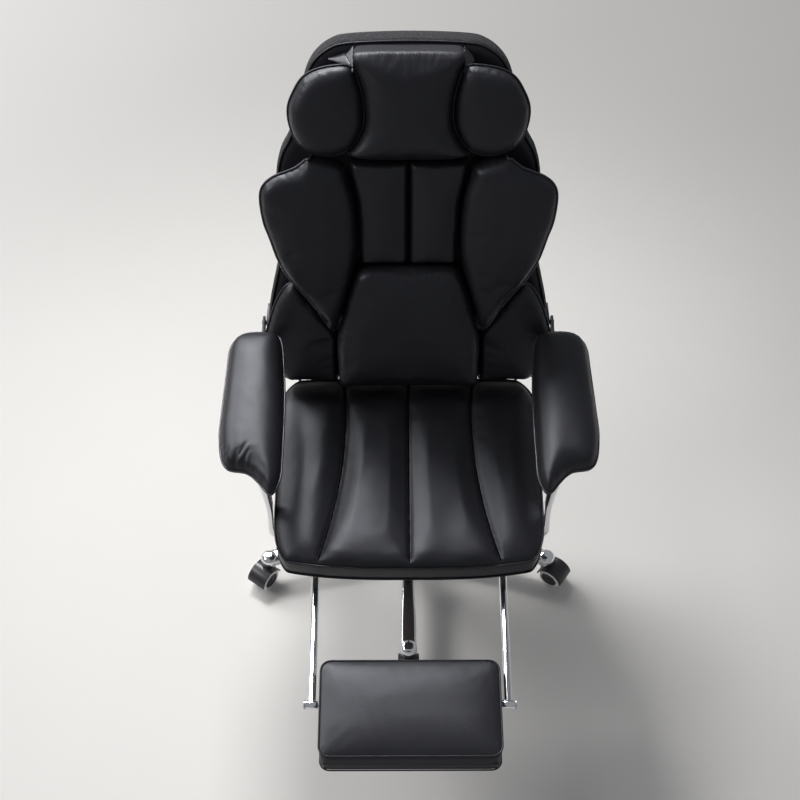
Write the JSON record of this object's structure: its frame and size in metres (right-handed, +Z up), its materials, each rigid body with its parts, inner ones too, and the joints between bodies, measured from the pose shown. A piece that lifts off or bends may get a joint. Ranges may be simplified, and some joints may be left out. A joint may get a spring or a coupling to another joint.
{
  "type": "office chair with footrest",
  "caption": "Reclining office chair with winged leather back, head bolsters, linked padded arms, chrome star base on casters and a slide-out footrest.",
  "frame": {"origin": "on the floor under the middle of the gas lift column", "axes": "+Z up; the chair faces -Y, so +Y is behind it and +X is on the right of a person who looks at its front"},
  "size_m": [0.7516, 1.192, 1.1759],
  "materials": {
    "leather": "satin",
    "mesh": "matte",
    "chrome": "polished",
    "black_steel": "satin",
    "black_plastic": "satin",
    "zinc": "satin",
    "plywood": "matte",
    "tread": "satin"
  },
  "bodies": {
    "base": {"star_base": "chrome", "column_tube": "black_steel", "column_bush": "black_plastic", "column_bearing": "zinc"},
    "lift_rod": {"piston_rod": "zinc"},
    "mechanism": {"pressure_tube": "zinc", "mechanism_housing": "black_steel", "tilt_pin": "zinc", "tilt_spring": "zinc"},
    "tension_knob": {"tension_knob": "black_plastic"},
    "height_lever": {"height_lever": "black_plastic"},
    "seat": {"top_plate": "black_steel", "seat_board": "plywood", "seat_cushion": "leather", "seat_brackets": "black_steel", "seat_pivot_bolts": "zinc", "footrest_guides": "black_plastic"},
    "recline_lever": {"recline_lever": "black_plastic"},
    "footrest_frame": {"footrest_rods": "chrome"},
    "footrest": {"footrest_axle": "zinc", "footrest_board": "plywood", "footrest_pad": "leather"},
    "back": {"back_board": "plywood", "back_cover": "mesh", "back_pad": "mesh", "back_brackets": "black_steel", "wing_left": "leather", "wing_right": "leather", "side_pads": "leather", "back_channels": "leather", "lumbar_pad": "leather", "head_panel": "leather", "bolster_left": "leather", "bolster_right": "leather"},
    "arm_bar_left": {"arm_bar_left": "chrome"},
    "arm_left": {"arm_plate_left": "black_steel", "arm_pad_left": "leather"},
    "arm_bar_right": {"arm_bar_right": "chrome"},
    "arm_right": {"arm_plate_right": "black_steel", "arm_pad_right": "leather"},
    "caster_1": {"caster_hood_1": "black_plastic", "caster_pins_1": "zinc"},
    "caster_wheel_left_1": {"caster_wheel_left_1": "tread"},
    "caster_wheel_right_1": {"caster_wheel_right_1": "tread"},
    "caster_2": {"caster_hood_2": "black_plastic", "caster_pins_2": "zinc"},
    "caster_wheel_left_2": {"caster_wheel_left_2": "tread"},
    "caster_wheel_right_2": {"caster_wheel_right_2": "tread"},
    "caster_3": {"caster_hood_3": "black_plastic", "caster_pins_3": "zinc"},
    "caster_wheel_left_3": {"caster_wheel_left_3": "tread"},
    "caster_wheel_right_3": {"caster_wheel_right_3": "tread"},
    "caster_4": {"caster_hood_4": "black_plastic", "caster_pins_4": "zinc"},
    "caster_wheel_left_4": {"caster_wheel_left_4": "tread"},
    "caster_wheel_right_4": {"caster_wheel_right_4": "tread"},
    "caster_5": {"caster_hood_5": "black_plastic", "caster_pins_5": "zinc"},
    "caster_wheel_left_5": {"caster_wheel_left_5": "tread"},
    "caster_wheel_right_5": {"caster_wheel_right_5": "tread"}
  },
  "joints": [
    {"name": "seat_swivel", "type": "hinge", "parent": "base", "child": "lift_rod", "pos_m": [0, 0, 0.06], "axis": [0, 0, 1], "continuous": true},
    {"name": "seat_height", "type": "slide", "parent": "lift_rod", "child": "mechanism", "axis": [0, 0, 1], "range_m": [0, 0.09]},
    {"name": "tension_knob_turn", "type": "hinge", "parent": "mechanism", "child": "tension_knob", "pos_m": [0, -0.074, 0.28], "axis": [0, 0, 1], "continuous": true},
    {"name": "height_lever_lift", "type": "hinge", "parent": "mechanism", "child": "height_lever", "pos_m": [0.067, 0.03, 0.346], "axis": [0, -1, 0], "range_deg": [0, 6], "stiffness_Nm_per_rad": 3, "springref_deg": -6.88},
    {"name": "seat_rock", "type": "hinge", "parent": "mechanism", "child": "seat", "pos_m": [0, -0.05, 0.374], "axis": [-1, 0, 0], "range_deg": [0, 10], "stiffness_Nm_per_rad": 260, "springref_deg": -9.74},
    {"name": "recline_lever_lift", "type": "hinge", "parent": "seat", "child": "recline_lever", "pos_m": [0.237, 0.04, 0.386], "axis": [-1, 0, 0], "range_deg": [0, 12], "stiffness_Nm_per_rad": 2, "springref_deg": -8.59},
    {"name": "footrest_slide", "type": "slide", "parent": "seat", "child": "footrest_frame", "axis": [0, 1, 0], "range_m": [0, 0.3]},
    {"name": "footrest_flip", "type": "hinge", "parent": "footrest_frame", "child": "footrest", "pos_m": [0, -0.605, 0.374], "axis": [1, 0, 0], "range_deg": [0, 180.5]},
    {"name": "back_recline", "type": "hinge", "parent": "seat", "child": "back", "pos_m": [0, 0.13, 0.378], "axis": [1, 0, 0], "range_deg": [-25, 12]},
    {"name": "arm_bar_left_swing", "type": "hinge", "parent": "seat", "child": "arm_bar_left", "pos_m": [-0.263, -0.235, 0.378], "axis": [1, 0, 0], "range_deg": [-25.5, 12.5]},
    {"name": "arm_left_level", "type": "hinge", "parent": "arm_bar_left", "child": "arm_left", "pos_m": [-0.298, -0.187, 0.575], "axis": [1, 0, 0], "range_deg": [-12.5, 25.5]},
    {"name": "arm_bar_right_swing", "type": "hinge", "parent": "seat", "child": "arm_bar_right", "pos_m": [0.263, -0.235, 0.378], "axis": [1, 0, 0], "range_deg": [-25.5, 12.5]},
    {"name": "arm_right_level", "type": "hinge", "parent": "arm_bar_right", "child": "arm_right", "pos_m": [0.298, -0.187, 0.575], "axis": [1, 0, 0], "range_deg": [-12.5, 25.5]},
    {"name": "caster_1_swivel", "type": "hinge", "parent": "base", "child": "caster_1", "pos_m": [0, -0.33, 0.06], "axis": [0, 0, 1], "continuous": true},
    {"name": "caster_wheel_left_1_roll", "type": "hinge", "parent": "caster_1", "child": "caster_wheel_left_1", "pos_m": [0, -0.353, 0.026], "axis": [1, 0, 0], "continuous": true},
    {"name": "caster_wheel_right_1_roll", "type": "hinge", "parent": "caster_1", "child": "caster_wheel_right_1", "pos_m": [0, -0.353, 0.026], "axis": [1, 0, 0], "continuous": true},
    {"name": "caster_2_swivel", "type": "hinge", "parent": "base", "child": "caster_2", "pos_m": [0.31385, -0.10198, 0.06], "axis": [0, 0, 1], "continuous": true},
    {"name": "caster_wheel_left_2_roll", "type": "hinge", "parent": "caster_2", "child": "caster_wheel_left_2", "pos_m": [0.33269, -0.11517, 0.026], "axis": [0.5736, 0.8192, 0], "continuous": true},
    {"name": "caster_wheel_right_2_roll", "type": "hinge", "parent": "caster_2", "child": "caster_wheel_right_2", "pos_m": [0.33269, -0.11517, 0.026], "axis": [0.5736, 0.8192, 0], "continuous": true},
    {"name": "caster_3_swivel", "type": "hinge", "parent": "base", "child": "caster_3", "pos_m": [0.19397, 0.26698, 0.06], "axis": [0, 0, 1], "continuous": true},
    {"name": "caster_wheel_left_3_roll", "type": "hinge", "parent": "caster_3", "child": "caster_wheel_left_3", "pos_m": [0.18461, 0.28799, 0.026], "axis": [-0.9135, -0.4067, 0], "continuous": true},
    {"name": "caster_wheel_right_3_roll", "type": "hinge", "parent": "caster_3", "child": "caster_wheel_right_3", "pos_m": [0.18461, 0.28799, 0.026], "axis": [-0.9135, -0.4067, 0], "continuous": true},
    {"name": "caster_4_swivel", "type": "hinge", "parent": "base", "child": "caster_4", "pos_m": [-0.19397, 0.26698, 0.06], "axis": [0, 0, 1], "continuous": true},
    {"name": "caster_wheel_left_4_roll", "type": "hinge", "parent": "caster_4", "child": "caster_wheel_left_4", "pos_m": [-0.19437, 0.28997, 0.026], "axis": [-0.9998, -0.0175, 0], "continuous": true},
    {"name": "caster_wheel_right_4_roll", "type": "hinge", "parent": "caster_4", "child": "caster_wheel_right_4", "pos_m": [-0.19437, 0.28997, 0.026], "axis": [-0.9998, -0.0175, 0], "continuous": true},
    {"name": "caster_5_swivel", "type": "hinge", "parent": "base", "child": "caster_5", "pos_m": [-0.31385, -0.10198, 0.06], "axis": [0, 0, 1], "continuous": true},
    {"name": "caster_wheel_left_5_roll", "type": "hinge", "parent": "caster_5", "child": "caster_wheel_left_5", "pos_m": [-0.32769, -0.12034, 0.026], "axis": [0.7986, -0.6018, 0], "continuous": true},
    {"name": "caster_wheel_right_5_roll", "type": "hinge", "parent": "caster_5", "child": "caster_wheel_right_5", "pos_m": [-0.32769, -0.12034, 0.026], "axis": [0.7986, -0.6018, 0], "continuous": true}
  ],
  "couplings": [
    {"joint": "footrest_flip", "follows": "footrest_slide", "rad_per_m": 10.472},
    {"joint": "arm_bar_left_swing", "follows": "back_recline", "ratio": 1},
    {"joint": "arm_left_level", "follows": "back_recline", "ratio": -1},
    {"joint": "arm_bar_right_swing", "follows": "back_recline", "ratio": 1},
    {"joint": "arm_right_level", "follows": "back_recline", "ratio": -1}
  ]
}
